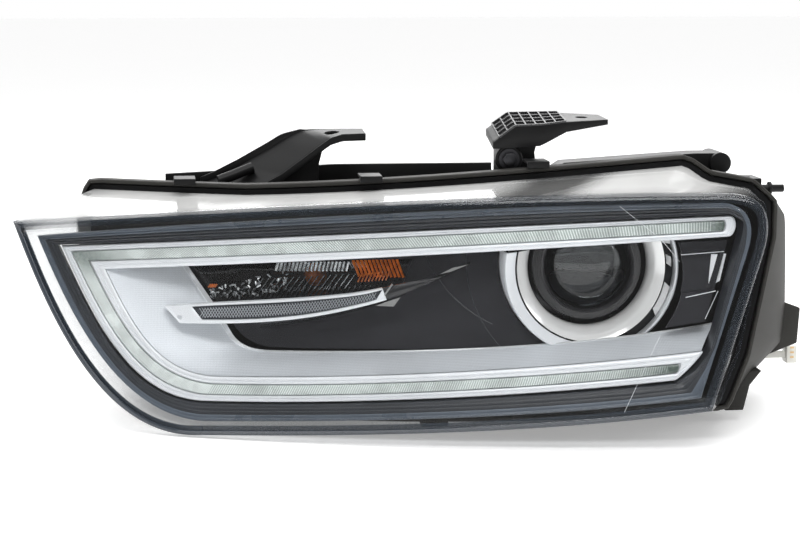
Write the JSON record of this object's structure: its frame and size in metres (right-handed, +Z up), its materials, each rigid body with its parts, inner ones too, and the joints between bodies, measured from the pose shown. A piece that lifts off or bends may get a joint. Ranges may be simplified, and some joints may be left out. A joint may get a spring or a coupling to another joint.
{
  "type": "car headlight assembly",
  "caption": "Right-hand car headlamp: projector low beam, U-shaped running light, marker strip and turn signal behind a swept clear lens, with aiming, levelling and service caps.",
  "frame": {"origin": "middle of the underside of the lamp's bounding box", "axes": "+X from the outer side of the car towards its grille, +Y rearwards (the lamp shines towards -Y), +Z up"},
  "size_m": [0.668, 0.319, 0.254],
  "materials": {
    "clear_lens": "hard-coated clear polycarbonate",
    "ribbed_lens": "clear, moulded ribs",
    "light_guide": "frosted light guide with fine ribs",
    "optic_glass": "polished",
    "amber_glass": "amber-coated bulb",
    "rubber": "matt",
    "housing_plastic": "moulded, lightly textured",
    "black_plastic": "moulded",
    "anthracite_plastic": "satin anthracite",
    "silver_plastic": "satin silver, fine grain",
    "satin_silver": "satin metallised",
    "chromed": "vacuum-metallised",
    "steel": "zinc-plated",
    "alloy": "die-cast",
    "white_plastic": "natural nylon",
    "circuit_board": "solder mask",
    "wire_cover": "wire insulation"
  },
  "bodies": {
    "lamp_body": {"front_lens": "clear_lens", "lens_gasket": "rubber", "rear_housing": "housing_plastic", "outer_bezel": "anthracite_plastic", "drl_frame": "silver_plastic", "drl_light_guide": "light_guide", "drl_led_board_upper": "circuit_board", "drl_led_board_lower": "circuit_board", "silver_trim": "silver_plastic", "dark_inner_panel": "anthracite_plastic", "side_trim_panel": "anthracite_plastic", "marker_strip_frame": "satin_silver", "marker_strip_lens": "ribbed_lens", "turn_signal_reflector": "chromed", "turn_signal_lens": "ribbed_lens", "projector_ring_outer": "silver_plastic", "projector_ring_inner": "silver_plastic", "projector_chrome_cone": "chromed", "levelling_motor": "black_plastic", "carrier_pivot_upper": "steel", "carrier_pivot_lower": "steel", "ballast": "alloy", "main_connector": "black_plastic", "vent_cap": "rubber", "left_bracket": "black_plastic", "rear_top_bar": "black_plastic", "middle_bracket": "black_plastic", "bracket_bolt": "steel", "right_bar": "black_plastic", "mounting_ear": "black_plastic", "locating_pin": "black_plastic", "lens_clip_1": "black_plastic", "lens_clip_2": "black_plastic", "lens_clip_3": "black_plastic", "lead_grommet": "rubber", "lead_plug": "white_plastic", "lead_wire_1": "wire_cover", "lead_wire_2": "wire_cover", "lead_wire_3": "wire_cover"},
    "carrier": {"carrier_frame": "black_plastic"},
    "projector": {"projector_lens_holder": "black_plastic", "projector_glass": "optic_glass", "projector_reflector": "chromed", "xenon_bulb": "optic_glass", "igniter": "alloy", "shutter_solenoid": "steel", "tilt_arm": "black_plastic"},
    "shutter": {"beam_shutter": "steel"},
    "plunger": {"solenoid_plunger": "steel"},
    "level_rod": {"levelling_shaft": "white_plastic"},
    "side_screw": {"horizontal_adjuster": "white_plastic"},
    "height_screw": {"vertical_adjuster": "white_plastic"},
    "main_cap": {"main_dust_cap": "black_plastic"},
    "small_cap": {"small_dust_cap": "black_plastic"},
    "signal_bulb": {"turn_signal_bulb": "amber_glass", "turn_signal_bulb_holder": "black_plastic"}
  },
  "joints": [
    {"name": "carrier_pan", "type": "hinge", "parent": "lamp_body", "child": "carrier", "pos_m": [0.128, -0.01648, 0.135], "axis": [0, 0, 1], "range_deg": [-3, 3]},
    {"name": "projector_tilt", "type": "hinge", "parent": "carrier", "child": "projector", "pos_m": [0.128, -0.01648, 0.135], "axis": [1, 0, 0], "range_deg": [-3, 3]},
    {"name": "levelling_slide", "type": "slide", "parent": "lamp_body", "child": "level_rod", "axis": [0, 1, 0], "range_m": [-0.004, 0.004]},
    {"name": "side_screw_turn", "type": "hinge", "parent": "lamp_body", "child": "side_screw", "pos_m": [0.2, 0.14, 0.135], "axis": [0, 1, 0], "range_deg": [-240, 240]},
    {"name": "height_screw_turn", "type": "hinge", "parent": "lamp_body", "child": "height_screw", "pos_m": [0.192, 0.14, 0.062], "axis": [0, 1, 0], "range_deg": [-240, 240]},
    {"name": "shutter_flip", "type": "hinge", "parent": "projector", "child": "shutter", "pos_m": [0.128, -0.01448, 0.097], "axis": [1, 0, 0], "range_deg": [0, 30], "stiffness_Nm_per_rad": 0.02, "springref_deg": -28.65},
    {"name": "solenoid_slide", "type": "slide", "parent": "projector", "child": "plunger", "axis": [0, 1, 0], "range_m": [0, 0.0065]},
    {"name": "main_cap_twist", "type": "hinge", "parent": "lamp_body", "child": "main_cap", "pos_m": [0.128, 0.14, 0.126], "axis": [0, 1, 0], "range_deg": [0, 30]},
    {"name": "small_cap_twist", "type": "hinge", "parent": "lamp_body", "child": "small_cap", "pos_m": [-0.084, 0.14, 0.116], "axis": [0, 1, 0], "range_deg": [0, 30]},
    {"name": "bulb_twist", "type": "hinge", "parent": "lamp_body", "child": "signal_bulb", "pos_m": [-0.084, 0.06, 0.116], "axis": [0, 1, 0], "range_deg": [0, 40]}
  ],
  "couplings": [
    {"joint": "levelling_slide", "follows": "projector_tilt", "m_per_rad": 0.072},
    {"joint": "side_screw_turn", "follows": "carrier_pan", "ratio": 75.4},
    {"joint": "solenoid_slide", "follows": "shutter_flip", "m_per_rad": 0.012}
  ]
}
